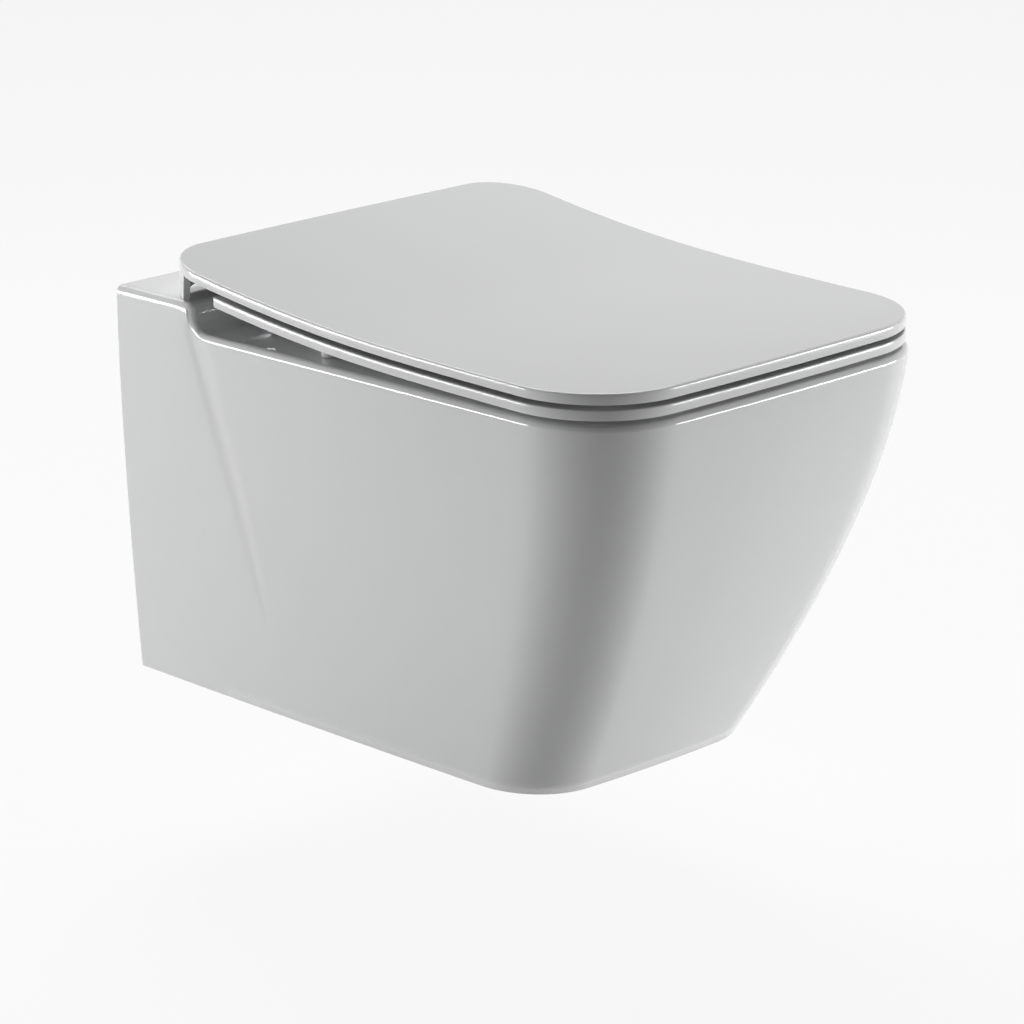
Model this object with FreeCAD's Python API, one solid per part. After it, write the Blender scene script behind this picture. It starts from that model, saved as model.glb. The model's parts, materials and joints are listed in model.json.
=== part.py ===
"""Wall hung toilet: ceramic pan, slim seat and lid on two hinge posts, and its hidden wall fixing.

Millimetres. The origin lies on the wall plane, midway between the two wall bolts. +Y points into
the wall, the pan projects along -Y, +X is the right-hand side seen from the wall, +Z is up.
Heights named h are measured from the top of the rim; up(h) turns them into Z.
"""
import FreeCAD, Part
import math
import os

V = FreeCAD.Vector

# ---- pan, outside ---------------------------------------------------------------------------
rim_above_bolts = 80.0      # top of the rim above the wall bolts
pan_half_width = 177.5      # at the rim
pan_base_half_width = 161.7  # at the wall, at the base
pan_length = 474.0          # wall to the front corners of the rim
pan_base_length = 358.0     # wall to the front corners of the base
pan_height = 269.0          # rim to base, at the wall
base_fall = 28.0            # how much lower the base is at its front corners
front_bulge = 2.9           # how far the front stands out between its corners
rim_corner = 74.0           # plan radius of the front corners at the rim
base_corner = 58.0          # and at the base
deck_rise = 20.0            # raised rear block above the rim
deck_front = 79.0           # wall to the riser's face
riser_top_round = 6.5       # rounding at the top of the riser
riser_foot_round = 13.5     # and at its foot
rim_edge = 5.0              # rounding along the outside of the rim and of the raised block
crease_top = 82.0           # wall to the crease between rear block and bowl, at the rim
crease_sweep = 53.0         # how much further from the wall it runs at the base
crease_depth = 3.3
crease_half_width = 8.0
crease_fade_up = 0.035      # share of the depth over which it fades into the riser
crease_fade_down = 0.8      # and towards the base
crease_lift = 0.2           # its cutting form stands this far outside the skin

# ---- pan, inside ----------------------------------------------------------------------------
wall = 11.0                 # ceramic wall
basin_wall = 9.0
floor_wall = 10.0
rim_wall = 13.0             # ceramic under the top of the rim
basin_half_width = 139.0
basin_rear = 136.0          # wall to the back of the basin mouth
rim_land = 37.0             # width of the rim in front of the basin
basin_corner = 62.0
ledge_depth = 30.0          # rim to the water ledge
ledge_width = 9.0
basin_depth = 222.0
basin_rings = 7             # sections of the bowl below the ledge
sump_width = 0.26           # sump's width as a share of the basin's
sump_pull = 0.74            # how far the floor's front comes back, as a share of the basin's length
sump_rear = 44.0            # how far the sump's rear stands in front of the basin's rear
trap_radius = 26.0
trap_wall = 8.0
trap_bend = 36.0
bend_steps = 4              # sections of each bend
trap_mouth_y = 246.0        # wall to the trap's mouth in the sump
trap_mouth_rise = 22.0      # mouth above the lowest point
trap_dip_y = 200.0
trap_dip = 222.0            # rim to the axis of the trap at its lowest
weir_front = 152.0          # wall to the front of the weir, and to its rear
weir_rear = 100.0
weir_height = 120.0         # rim to the axis of the trap over the weir
trap_foot_y = 86.0          # wall to where the fall meets the waste
waste_below_bolts = 100.0
waste_radius = 51.0         # outside of the waste spigot
waste_wall = 7.0
waste_length = 54.0
inlet_below_rim = 45.0
inlet_seat_radius = 29.5    # seat of the flush seal
inlet_seat_depth = 44.0
inlet_wall = 7.5
flush_radius = 22.5         # flush pipe, and the flush channel
flush_slot_half_width = 26.0
flush_slot_height = 11.0
back_recess = 8.0           # spigot and inlet stop short of the wall by this

# ---- hidden wall fixing ---------------------------------------------------------------------
bolt_spacing = 180.0
bolt_hole_radius = 6.25
block_width = 44.0
block_height = 50.0
block_depth = 60.0
block_gap = 0.2
pocket_wall = 8.0
clamp_radius = 4.0
clamp_head_radius = 6.5
clamp_head_height = 7.0
clamp_reach = 34.0

# ---- lid and seat ---------------------------------------------------------------------------
lid_overhang = 0.0          # lid and seat beyond the pan's sides
lid_setback = 3.2           # front corners of the lid behind those of the rim
lid_back = 40.4             # wall to the back of the lid
lid_low = 22.8              # top of the lid above the rim, at its lowest
lid_rise = 28.6             # how much higher its back is
lid_edge = 8.4              # height of its edge
lid_shell = 4.3
lid_edge_width = 5.0
lid_front_corner = 74.0
lid_back_corner = 44.0
lid_bevel = 1.2             # bevel along the lid's upper edge
skirt_front = 68.0          # wall to where the back skirt ends on each side
skirt_tip = 15.0            # front end of the skirt above the rim, outside the deck's rounded side
skirt_side_gap = 0.4        # skirt over the deck
seat_gap = 3.4              # lid edge to seat
seat_thickness = 7.5
seat_rear = 101.8
seat_rear_corner = 1.5
seat_hole_half_width = 112.0
seat_hole_rear = 152.0
seat_hole_front = 398.0
seat_hole_front_corner = 98.0
seat_hole_rear_corner = 80.0
# side view of the lid: share of its length from the front, share of its rise
LID_CURVE = ((-0.02, -0.04), (0.18, 0.0), (0.38, 0.056), (0.59, 0.20), (0.77, 0.465), (1.02, 1.04))

# ---- hinges ---------------------------------------------------------------------------------
hinge_inset = 12.5          # hinge posts inwards from the wall studs
hinge_behind = 9.0          # lid's back behind the hinge axis
hinge_hole_radius = 7.0
lug_radius = 7.0
lug_gap = 0.8               # lug to the underside of the lid
lug_width = 12.5
post_width = 16.0
side_gap = 0.5              # post to lug
pin_radius = 3.5
running_gap = 0.05          # pin in its bushes
bush_radius = 5.2
foot_half_width = 14.0      # post's foot on the deck
foot_behind = 11.4          # foot behind the hinge axis
foot_ahead = 21.6           # and in front of it
foot_corner = 5.0
foot_height = 2.5
column_ahead = 12.6         # hinge axis to the column, clear of the lid swung right over
column_depth = 7.5
arm_above = 3.0             # arm from the column to the barrel, above and below the axis
arm_below = 5.5
gasket_height = 1.0
stud_radius = 4.0
stud_head_radius = 6.0
stud_length = 44.0
sleeve_length = 24.0
cone_height = 8.0
deck_swing_gap = 1.0        # deck to the skirt as the lid swings
notch_gap = 1.5             # lid skirt to the hinge, at each side
bracket_plate = 4.0
plate_gap = 0.05            # bracket plate to the face it is screwed to
bracket_length = 34.0
bracket_width = 25.0
screw_radius = 2.0
screw_head_radius = 3.8
screw_bite = 3.0

# ---- buffers --------------------------------------------------------------------------------
buffer_radius = 7.0
rest_gap = 0.1              # between a buffer and the face it rests on
seat_side_buffer = (22.5, 198.0)     # in from the seat's side, out from the wall
seat_front_buffer = (85.5, 15.8)     # in from the seat's side, back from its front corners
lid_rear_buffer = (27.5, 150.0)      # in from the lid's side, out from the wall
lid_front_buffer = (49.5, 45.8)      # in from the lid's side, back from its front corners

# ---- worked out from the values above -------------------------------------------------------
section_depth = pan_height + base_fall + 4.0
base_slope = base_fall / pan_base_length
plan_taper = 0.27           # share by which the base narrows from the wall to its front corners
hinge_x = bolt_spacing / 2 - hinge_inset
hinge_y = -(lid_back + hinge_behind)
block_x = bolt_spacing / 2
lid_half_width = pan_half_width + lid_overhang
lid_length = pan_length - lid_setback
beyond = 1000.0             # cutting forms reach this far past the part


def up(h):
    """Z of a height measured from the top of the rim."""
    return rim_above_bolts + h


def box(x0, x1, y0, y1, z0, z1):
    return Part.makeBox(x1 - x0, y1 - y0, z1 - z0, V(x0, y0, z0))


def rod(radius, start, end):
    """Cylinder between two points."""
    axis = end - start
    return Part.makeCylinder(radius, axis.Length, start, axis)


def tube(outer, inner, start, end):
    return rod(outer, start, end).cut(rod(inner, start, end))


def both_sides(shape):
    """The shape and its mirror image, as two separate solids."""
    return Part.makeCompound([shape, shape.mirror(V(0, 0, 0), V(1, 0, 0))])


def mirrored(shape):
    return shape.mirror(V(0, 0, 0), V(1, 0, 0))


def rounded_wire(corners, z):
    """Closed level wire round (x, y, radius) corners, each a cubic that keeps to its arc."""
    points = [V(x, y, z) for x, y, radius in corners]
    turns = []
    for i, corner in enumerate(corners):
        here = points[i]
        back = (points[i - 1] - here).normalize()
        ahead = (points[(i + 1) % len(points)] - here).normalize()
        half = back.getAngle(ahead) / 2
        cut = corner[2] / math.tan(half)
        handle = corner[2] * math.tan((math.pi / 2 - half) / 2) * 4 / 3
        turns.append((here + back * cut, back * -handle, ahead * -handle, here + ahead * cut))
    edges = []
    for i, (start, pull_in, pull_out, end) in enumerate(turns):
        if (end - start).Length > 1e-6:
            curve = Part.BezierCurve()
            curve.setPoles([start, start + pull_in, end + pull_out, end])
            edges.append(curve.toShape())
        following = turns[(i + 1) % len(turns)][0]
        if (following - end).Length > 1e-4:
            edges.append(Part.makeLine(end, following))
    return Part.Wire(edges)


def plan_corners(half_rear, y_rear, r_rear, half_front, y_front, r_front, bulge):
    """Plan outline with a straight back, straight sides and a front that swells by bulge."""
    side = V(half_rear - half_front, y_rear - y_front, 0)
    edge = V(-half_front, -2 * bulge, 0)
    corner_cut = r_front / math.tan(side.getAngle(edge) / 2)
    centre_cut = edge.Length - corner_cut
    centre_radius = centre_cut * half_front / (2 * bulge)
    right = [(half_rear, y_rear, r_rear), (half_front, y_front, r_front)]
    left = [(-x, y, r) for x, y, r in reversed(right)]
    return right + [(0.0, y_front - 2 * bulge, centre_radius)] + left


def prism(wire, height):
    return Part.Face(wire).extrude(V(0, 0, height))


def side_profile(edges_or_points, half_width):
    """Solid between x = -half_width and +half_width with the given outline in the YZ plane."""
    wire = edges_or_points
    if isinstance(wire, list):
        points = [V(-half_width, y, z) for y, z in wire]
        wire = Part.makePolygon(points + points[:1])
    return Part.Face(wire).extrude(V(2 * half_width, 0, 0))


# ---- pan ------------------------------------------------------------------------------------
def pan_plan(depth):
    """Half width at the wall, half width at the front corners and length, at a depth below the rim."""
    deep = max(depth, 0.0)
    half_wall = pan_half_width - (pan_half_width - pan_base_half_width) * (deep / pan_height) ** 1.5
    shorter = (pan_length - pan_base_length) * (deep / (pan_height + base_fall)) ** 1.53
    half_front = half_wall * (1 - plan_taper * (deep / section_depth) ** 1.4)
    return half_wall, half_front, pan_length - shorter


def pan_section(share, inset):
    """Plan section of the pan's skin at a share of the depth below the rim, run on past the wall plane."""
    half_wall, half_front, length = pan_plan(share * section_depth)
    corner = rim_corner + (base_corner - rim_corner) * max(share, 0.0)
    slope = (half_wall - half_front) / length
    corners = plan_corners(half_wall + slope * wall - inset, wall, 0.0,
                           half_front + slope * inset - inset, inset - length,
                           corner - inset, front_bulge)
    return rounded_wire(corners, up(-share * section_depth))


def pan_skin(inset):
    top = -(deck_rise + 3) / section_depth
    shares = [top, 0.04, 0.14, 0.26, 0.38, 0.5, 0.62, 0.74, 0.87, 1.0]
    return Part.makeLoft([pan_section(share, inset) for share in shares], True, True)


def above_rim(inset):
    """What is taken off above the rim in front of the raised block, riser included."""
    reach = pan_length + 40
    foot = up(-rim_wall if inset else 0.0)
    top = up(deck_rise + 5)
    crown = up(deck_rise - inset)
    face = -deck_front + inset
    half = pan_half_width + 20
    fit = min(1.0, (crown - foot) / (riser_foot_round + riser_top_round))
    low = riser_foot_round * fit
    high = riser_top_round * fit
    short = 1 - math.sqrt(0.5)
    lower = Part.Arc(V(-half, face - low, foot), V(-half, face - low * short, foot + low * short),
                     V(-half, face, foot + low)).toShape()
    upper = Part.Arc(V(-half, face, crown - high), V(-half, face + high * short, crown - high * short),
                     V(-half, face + high, crown)).toShape()
    edges = [Part.makeLine(V(-half, -reach, foot), V(-half, face - low, foot)), lower]
    if crown - foot > low + high + 1e-6:
        edges.append(Part.makeLine(V(-half, face, foot + low), V(-half, face, crown - high)))
    edges += [upper, Part.makeLine(V(-half, face + high, crown), V(-half, 20, crown)),
              Part.makeLine(V(-half, 20, crown), V(-half, 20, top)),
              Part.makeLine(V(-half, 20, top), V(-half, -reach, top)),
              Part.makeLine(V(-half, -reach, top), V(-half, -reach, foot))]
    return side_profile(Part.Wire(edges), half)


def below_base(lift):
    """Everything under the sloping base, raised by lift."""
    reach = pan_length + 40
    floor = up(-section_depth - 60)
    line = [(20.0, up(-pan_height + lift + 20 * base_slope)),
            (-reach, up(-pan_height + lift - reach * base_slope)), (-reach, floor), (20.0, floor)]
    return side_profile(line, pan_half_width + 20)


def round_top(skin):
    """Rounds the rim, the riser's ends and the deck's sides in one go."""
    picked = []
    for edge in skin.Edges:
        space = edge.BoundBox
        crosses = space.XLength > 1.5 * pan_half_width
        if space.ZMin > up(-0.1) and space.YMin < -10 and not crosses:
            picked.append(edge)
    return skin.makeFillet(rim_edge, picked)


def crease_ring(share):
    """Section of the crease's cutting form: two convex arcs that meet in the valley."""
    fade = 1 - share / crease_fade_down
    if share < 0:
        fade = 1 + share / crease_fade_up
    depth = share * section_depth
    turn = math.pi / 2 * min(max(depth, 0.0) / pan_height, 1.0)
    valley = -(crease_top + crease_sweep * math.sin(turn))
    half_wall, half_front, length = pan_plan(depth)
    slope = (half_wall - half_front) / length
    reach = crease_half_width * math.sqrt(max(fade, 0.1))
    deep = crease_depth * fade + crease_lift
    bend = (reach ** 2 + deep ** 2) / (2 * deep)
    z = up(-depth)

    def at(offset, out):
        y = valley + offset
        inward = bend - math.sqrt(bend ** 2 - (reach - abs(offset)) ** 2)
        return V(half_wall + slope * y + crease_lift - inward + out, y, z)

    ends = [at(reach, 0), at(-reach, 0), at(-reach, 3), at(reach, 3)]
    return Part.Wire([Part.Arc(ends[0], at(reach / 2, 0), at(0, 0)).toShape(),
                      Part.Arc(at(0, 0), at(-reach / 2, 0), ends[1]).toShape(),
                      Part.makeLine(ends[1], ends[2]), Part.makeLine(ends[2], ends[3]),
                      Part.makeLine(ends[3], ends[0])])


def crease():
    """Groove between the rear block and the bowl, on the right-hand side, fading up and down."""
    shares = [-1.03 * crease_fade_up, 0.0, 0.12, 0.26, 0.4, 0.54, 0.68, 1.03 * crease_fade_down]
    return Part.makeLoft([crease_ring(share) for share in shares], True, True)


def basin_void(grow):
    """Space inside the basin, or its outer form where grow is the wall's thickness."""
    front = pan_length - rim_land
    top = up(1.0)
    ledge = up(-ledge_depth - grow)

    def ring(half, rear, length, corner, z):
        corners = plan_corners(half + grow, -rear + grow, corner * 0.8 + grow, half + grow,
                               -length - grow, corner + grow, front_bulge)
        return rounded_wire(corners, z)

    mouth = Part.makeLoft([ring(basin_half_width, basin_rear, front, basin_corner, top),
                           ring(basin_half_width - 1, basin_rear + 1, front - 1, basin_corner,
                                ledge)], True, True)
    rings = []
    for i in range(basin_rings + 1):
        depth = i / basin_rings
        half = (basin_half_width - ledge_width) * (1 - (1 - sump_width) * depth ** 1.7)
        rear = basin_rear + ledge_width + sump_rear * depth ** 5
        length = front - ledge_width - (front - basin_rear - 60) * sump_pull * depth ** 1.6
        corner = min(basin_corner - ledge_width, half * 0.9, (length - rear) * 0.45)
        z = up(-ledge_depth - (basin_depth - ledge_depth) * depth - grow * depth)
        rings.append(ring(half, rear, length, corner, z))
    return mouth.fuse(Part.makeLoft(rings, True, True))


def trap_stations():
    """Points and directions along the trapway's axis, from the sump over the weir to the waste outlet."""
    waste_z = -waste_below_bolts
    points = [V(0, -trap_mouth_y, up(-trap_dip + trap_mouth_rise)), V(0, -trap_dip_y, up(-trap_dip)),
              V(0, -weir_front, up(-weir_height)), V(0, -weir_rear, up(-weir_height)),
              V(0, -trap_foot_y, waste_z), V(0, 0, waste_z)]
    stations = [(points[0], (points[1] - points[0]).normalize())]
    for i in range(1, len(points) - 1):
        back = (points[i - 1] - points[i]).normalize()
        ahead = (points[i + 1] - points[i]).normalize()
        half = back.getAngle(ahead) / 2
        inward = (back + ahead).normalize()
        centre = points[i] + inward * (trap_bend / math.sin(half))
        turn = math.pi - 2 * half
        sweep = (ahead - back).normalize()
        for step in range(bend_steps + 1):
            angle = turn * (step / bend_steps - 0.5)
            place = centre - inward * (trap_bend * math.cos(angle)) + sweep * (trap_bend * math.sin(angle))
            stations.append((place, sweep * math.cos(angle) + inward * math.sin(angle)))
    stations.append((points[-1], (points[-1] - points[-2]).normalize()))
    return stations


def trap_tube(radius):
    rings = []
    for place, direction in trap_stations():
        circle = Part.Circle(place, direction, radius)
        circle.XAxis = V(1, 0, 0)
        rings.append(Part.Wire([circle.toShape()]))
    return Part.makeLoft(rings, True, True)


def flush_box(grow):
    """Distributor behind the basin, or its space."""
    half = flush_slot_half_width + 34.0
    middle = up(-inlet_below_rim)
    rear = -(basin_rear - basin_wall - 26.0)
    return box(-half - grow, half + grow, -(basin_rear - 4.0) - grow, rear + grow,
               middle - 14.0 - grow, middle + 14.0 + grow)


def fixing_pocket():
    """Ribs and pocket walls that hold one fixing block, on the right-hand side."""
    half = block_width / 2 + block_gap
    tall = block_height / 2 + block_gap
    deep = block_depth + block_gap
    outer = box(block_x - half - pocket_wall, pan_half_width - 4, -deep - pocket_wall, 0,
                -tall - pocket_wall, tall + pocket_wall)
    side_room = box(block_x + half + pocket_wall, pan_half_width + 4, -deep - pocket_wall - 1, 1,
                    -tall, tall)
    return outer.cut(side_room), box(block_x - half, block_x + half, -deep, 1, -tall, tall)


def make_pan():
    skin = pan_skin(0.0).cut(above_rim(0.0)).cut(below_base(0.0))
    skin = round_top(skin.common(box(-beyond, beyond, -beyond, 0, -beyond, beyond)))
    for groove in (crease(), mirrored(crease())):
        skin = skin.cut(groove)
    hollow = pan_skin(wall).cut(above_rim(wall)).cut(below_base(floor_wall))
    waste_z = -waste_below_bolts
    inlet_z = up(-inlet_below_rim)
    pocket_walls, pocket_room = fixing_pocket()
    inlet_mouth = V(0, -back_recess, inlet_z)
    inlet_end = V(0, -back_recess - inlet_seat_depth, inlet_z)
    basin_back = V(0, -basin_rear + 6, inlet_z)
    solids = [basin_void(basin_wall), trap_tube(trap_radius + trap_wall),
              rod(waste_radius, V(0, -waste_length - back_recess, waste_z), V(0, -back_recess, waste_z)),
              rod(inlet_seat_radius + inlet_wall, inlet_end, inlet_mouth),
              rod(flush_radius + inlet_wall, basin_back, inlet_end), flush_box(basin_wall),
              pocket_walls, mirrored(pocket_walls)]
    for solid in solids:
        hollow = hollow.cut(solid)
    hollow = hollow.fuse(box(-waste_radius - 20, waste_radius + 20, -back_recess, 0,
                             waste_z - waste_radius + 2, inlet_z + inlet_seat_radius + inlet_wall + 2))
    pan = skin.cut(hollow)
    slot_z = inlet_z - flush_slot_height / 2
    voids = [basin_void(0.0), trap_tube(trap_radius),
             rod(waste_radius - waste_wall, V(0, -waste_length, waste_z), V(0, 1, waste_z)),
             rod(inlet_seat_radius, inlet_end, V(0, 1, inlet_z)),
             rod(flush_radius, V(0, -basin_rear + basin_wall + 8, inlet_z), inlet_end), flush_box(0.0),
             box(-flush_slot_half_width, flush_slot_half_width, -basin_rear - 20, -basin_rear + 6,
                 slot_z, slot_z + flush_slot_height), pocket_room, mirrored(pocket_room)]
    for side in (-1, 1):
        x = side * hinge_x
        voids.append(rod(hinge_hole_radius, V(x, hinge_y, up(deck_rise - wall - 2)),
                         V(x, hinge_y, up(deck_rise + 2))))
        roof = block_height / 2
        voids.append(rod(clamp_radius + 0.5, V(x, hinge_y, roof - 1), V(x, hinge_y, roof + pocket_wall + 2)))
    for void in voids:
        pan = pan.cut(void)
    return pan


# ---- lid and seat ---------------------------------------------------------------------------
def lid_curve(lower, start=-0.02, end=1.02):
    """Side view of the lid's top, moved down by lower, as a curve at x = 0."""
    reach = lid_length - lid_back
    points = []
    for share, rise in LID_CURVE:
        points.append(V(0, -lid_length + share * reach, up(lid_low + lid_rise * rise - lower)))
    curve = Part.BSplineCurve()
    curve.interpolate(points)
    return curve


def curve_height(y, lower):
    """Z of the lowered curve at a distance from the wall."""
    line = Part.Line(V(0, y, 0), V(0, y, beyond)).toShape(-beyond, beyond)
    return lid_curve(lower).toShape().distToShape(line)[1][0][0].z


def under_curve(lower, half_width):
    """Everything below the lowered curve."""
    edge = lid_curve(lower).toShape()
    start = edge.Vertexes[0].Point
    end = edge.Vertexes[-1].Point
    floor = up(-60)
    edges = [edge, Part.makeLine(end, V(0, end.y, floor)),
             Part.makeLine(V(0, end.y, floor), V(0, start.y, floor)),
             Part.makeLine(V(0, start.y, floor), start)]
    face = Part.Face(Part.Wire(edges))
    face.translate(V(-half_width, 0, 0))
    return face.extrude(V(2 * half_width, 0, 0))


def lid_plan(inset, z, height):
    corners = plan_corners(lid_half_width - inset, -lid_back - inset, lid_back_corner - inset,
                           lid_half_width - inset, -lid_length + inset, lid_front_corner - inset,
                           front_bulge)
    return prism(rounded_wire(corners, z), height)


def seat_plan(z, height):
    corners = plan_corners(lid_half_width, -seat_rear, seat_rear_corner, lid_half_width,
                           -lid_length, lid_front_corner, front_bulge)
    return prism(rounded_wire(corners, z), height)


def seat_opening(z, height):
    corners = plan_corners(seat_hole_half_width, -seat_hole_rear, seat_hole_rear_corner,
                           seat_hole_half_width, -seat_hole_front, seat_hole_front_corner, front_bulge)
    return prism(rounded_wire(corners, z), height)


hinge_z = curve_height(hinge_y, lid_shell) - lug_gap - lug_radius
deck_z = up(deck_rise)
seat_top_drop = lid_edge + seat_gap
seat_drop = seat_top_drop + seat_thickness
skirt_swing = hinge_z - deck_z - deck_swing_gap
skirt_back_z = hinge_z - math.sqrt(skirt_swing ** 2 - hinge_behind ** 2)
foot_top = deck_z + gasket_height + foot_height


def hinge_room():
    """Cut in the lid's back skirt for one hinge, on the right-hand side."""
    reach = post_width / 2 + side_gap + lug_width + notch_gap
    return box(hinge_x - reach, hinge_x + reach, -lid_back - lid_edge_width - 14, 0,
               up(0), hinge_z + lug_radius + lug_gap / 2)


def deck_room():
    """The raised block with its rounded sides, grown by the skirt's gap."""
    half = pan_half_width + skirt_side_gap
    form = box(-half, half, -skirt_front - 20, 1, up(-40), deck_z + skirt_side_gap)
    sides = [edge for edge in form.Edges
             if edge.BoundBox.YLength > skirt_front and edge.BoundBox.ZMin > deck_z]
    return form.makeFillet(rim_edge + skirt_side_gap, sides)


def make_lid_shell():
    """Slab with a curved side view, hollow below, whose edge drops into a skirt at the back."""
    base = up(0)
    form = lid_plan(0.0, base, 120).common(under_curve(0.0, 300))
    top_edges = []
    for edge in form.Edges:
        space = edge.BoundBox
        if space.ZMin > up(lid_low - 6):
            top_edges.append(edge)
    form = form.makeChamfer(lid_bevel, top_edges)
    edge_void = under_curve(lid_edge, 300)
    edge_void = edge_void.common(box(-beyond, beyond, -beyond, -skirt_front, 0, beyond))
    floor = [(-skirt_front, up(-40)), (-skirt_front, up(skirt_tip)), (-lid_back, skirt_back_z),
             (0, skirt_back_z + 4), (0, up(-40))]
    form = form.cut(edge_void).cut(side_profile(floor, beyond)).cut(deck_room())
    form = form.cut(lid_plan(lid_edge_width, base - 20, 140).common(under_curve(lid_shell, 300)))
    for room in (hinge_room(), mirrored(hinge_room())):
        form = form.cut(room)
    return form


def make_seat_ring():
    base = up(-20)
    form = seat_plan(base, 120).common(under_curve(seat_top_drop, 300))
    form = form.cut(under_curve(seat_drop, 300))
    form = form.cut(seat_opening(base, 120))
    return form


# ---- hinges ---------------------------------------------------------------------------------
def foot_outline(z, height):
    """Plate under the post, in the outline of its foot."""
    form = box(hinge_x - foot_half_width, hinge_x + foot_half_width, hinge_y - foot_ahead,
               hinge_y + foot_behind, z, z + height)
    return form.makeFillet(foot_corner, [edge for edge in form.Edges if edge.BoundBox.ZLength > height / 2])


def stud_head():
    return Part.makeCone(stud_radius, stud_head_radius, foot_height,
                         V(hinge_x, hinge_y, foot_top - foot_height), V(0, 0, 1))


def hinge_post():
    """Foot on the deck, column in front of the axis, and an arm back to the barrel that holds the pin."""
    x0 = hinge_x - post_width / 2
    x1 = hinge_x + post_width / 2
    column_back = hinge_y - column_ahead
    column_front = column_back - column_depth
    foot = foot_outline(foot_top - foot_height, foot_height)
    column = box(x0, x1, column_front, column_back, foot_top - foot_height, hinge_z + arm_above)
    arm = box(x0, x1, column_front, hinge_y, hinge_z - arm_below, hinge_z + arm_above)
    barrel = rod(lug_radius - side_gap, V(x0, hinge_y, hinge_z), V(x1, hinge_y, hinge_z))
    post = foot.fuse(column).fuse(arm).fuse(barrel).removeSplitter()
    post = post.cut(rod(pin_radius, V(x0 - 1, hinge_y, hinge_z), V(x1 + 1, hinge_y, hinge_z)))
    return post.cut(stud_head())


def hinge_gasket():
    """Pad between the foot and the glaze."""
    hole = rod(stud_radius + 0.2, V(hinge_x, hinge_y, deck_z - 1), V(hinge_x, hinge_y, foot_top))
    return foot_outline(deck_z, gasket_height).cut(hole)


def hinge_stud():
    """Countersunk screw from the post's foot down through the deck."""
    shank = rod(stud_radius, V(hinge_x, hinge_y, foot_top - stud_length),
                V(hinge_x, hinge_y, foot_top - foot_height))
    return shank.fuse(stud_head())


def expansion_sleeve():
    """Rubber sleeve that the cone nut spreads below the deck."""
    return tube(hinge_hole_radius - 0.1, stud_radius + 0.1, V(hinge_x, hinge_y, deck_z - sleeve_length),
                V(hinge_x, hinge_y, deck_z))


def cone_nut():
    low = V(hinge_x, hinge_y, deck_z - sleeve_length - cone_height)
    cone = Part.makeCone(hinge_hole_radius - 0.2, stud_radius + 1.5, cone_height, low, V(0, 0, 1))
    return cone.cut(rod(stud_radius, low - V(0, 0, 1), low + V(0, 0, cone_height + 1)))


def hinge_pin():
    reach = post_width / 2 + side_gap + lug_width
    return rod(pin_radius, V(hinge_x - reach, hinge_y, hinge_z), V(hinge_x + reach, hinge_y, hinge_z))


def lug_span(outward):
    """First and last x of the seat's lug (outward) or the lid's lug on the right-hand side."""
    near = post_width / 2 + side_gap
    if outward:
        return hinge_x + near, hinge_x + near + lug_width
    return hinge_x - near - lug_width, hinge_x - near


def lug(outward):
    x0, x1 = lug_span(outward)
    return rod(lug_radius, V(x0, hinge_y, hinge_z), V(x1, hinge_y, hinge_z))


def lug_bore(outward):
    x0, x1 = lug_span(outward)
    return rod(bush_radius, V(x0 - 1, hinge_y, hinge_z), V(x1 + 1, hinge_y, hinge_z))


def lug_bush(outward):
    x0, x1 = lug_span(outward)
    return tube(bush_radius, pin_radius + running_gap, V(x0, hinge_y, hinge_z),
                V(x1, hinge_y, hinge_z))


def plate(x0, x1, y0, y1, drop):
    """Plate with its upper face on the lowered curve."""
    form = box(x0, x1, y0, y1, up(-20), up(90))
    top = drop + plate_gap
    return form.common(under_curve(top, 300)).cut(under_curve(top + bracket_plate, 300))


def seat_bracket():
    """Lug and arm that reach forward to a plate under the back of the seat."""
    x0, x1 = lug_span(True)
    y_plate = -seat_rear - bracket_length
    y_seat = -seat_rear + 2
    under = curve_height(y_seat, seat_drop + plate_gap)
    arm_top = [(hinge_y, hinge_z + lug_radius - 1), (hinge_y - 6, hinge_z + lug_radius - 3.2),
               (y_seat, under), (y_seat, under - bracket_plate), (hinge_y, hinge_z - lug_radius + 1)]
    points = [V(x0, y, z) for y, z in arm_top]
    arm = Part.Face(Part.makePolygon(points + points[:1])).extrude(V(x1 - x0, 0, 0))
    foot = plate(x1 - bracket_width, x1 + 4, y_plate, y_seat, seat_drop)
    bracket = arm.fuse(lug(True)).fuse(foot).removeSplitter().cut(lug_bore(True))
    for start, end in screw_lines(False):
        bracket = bracket.cut(rod(screw_radius, start, end))
    return bracket


def lid_bracket():
    """Lug that hangs from a plate under the lid."""
    x0, x1 = lug_span(False)
    foot = plate(x0 - bracket_width / 2, x1, hinge_y - bracket_length, hinge_y + 3, lid_shell)
    web = box(x0, x1, hinge_y - lug_radius, hinge_y + 3, hinge_z,
              curve_height(hinge_y, lid_shell) - bracket_plate / 2)
    bracket = foot.fuse(lug(False)).fuse(web).removeSplitter().cut(lug_bore(False))
    for start, end in screw_lines(True):
        bracket = bracket.cut(rod(screw_radius, start, end))
    return bracket


def screw_lines(lid):
    """Axes of the two bracket screws on the right-hand side, from under the head to the tip."""
    lines = []
    x0, x1 = lug_span(not lid)
    for step in (0.35, 0.8):
        if lid:
            x, y, drop = x0 - 3, hinge_y - bracket_length * step, lid_shell
        else:
            x, y, drop = x1 - bracket_width / 2, -seat_rear - bracket_length * step, seat_drop
        top = curve_height(y, drop)
        lines.append((V(x, y, top - bracket_plate - 0.7), V(x, y, top + screw_bite)))
    return lines


def bracket_screws(lid):
    screws = []
    for start, end in screw_lines(lid):
        head = rod(screw_head_radius, start - V(0, 0, 2.4), start)
        screws.append(head.fuse(rod(screw_radius, start - V(0, 0, 0.5), end)))
    return screws


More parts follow.
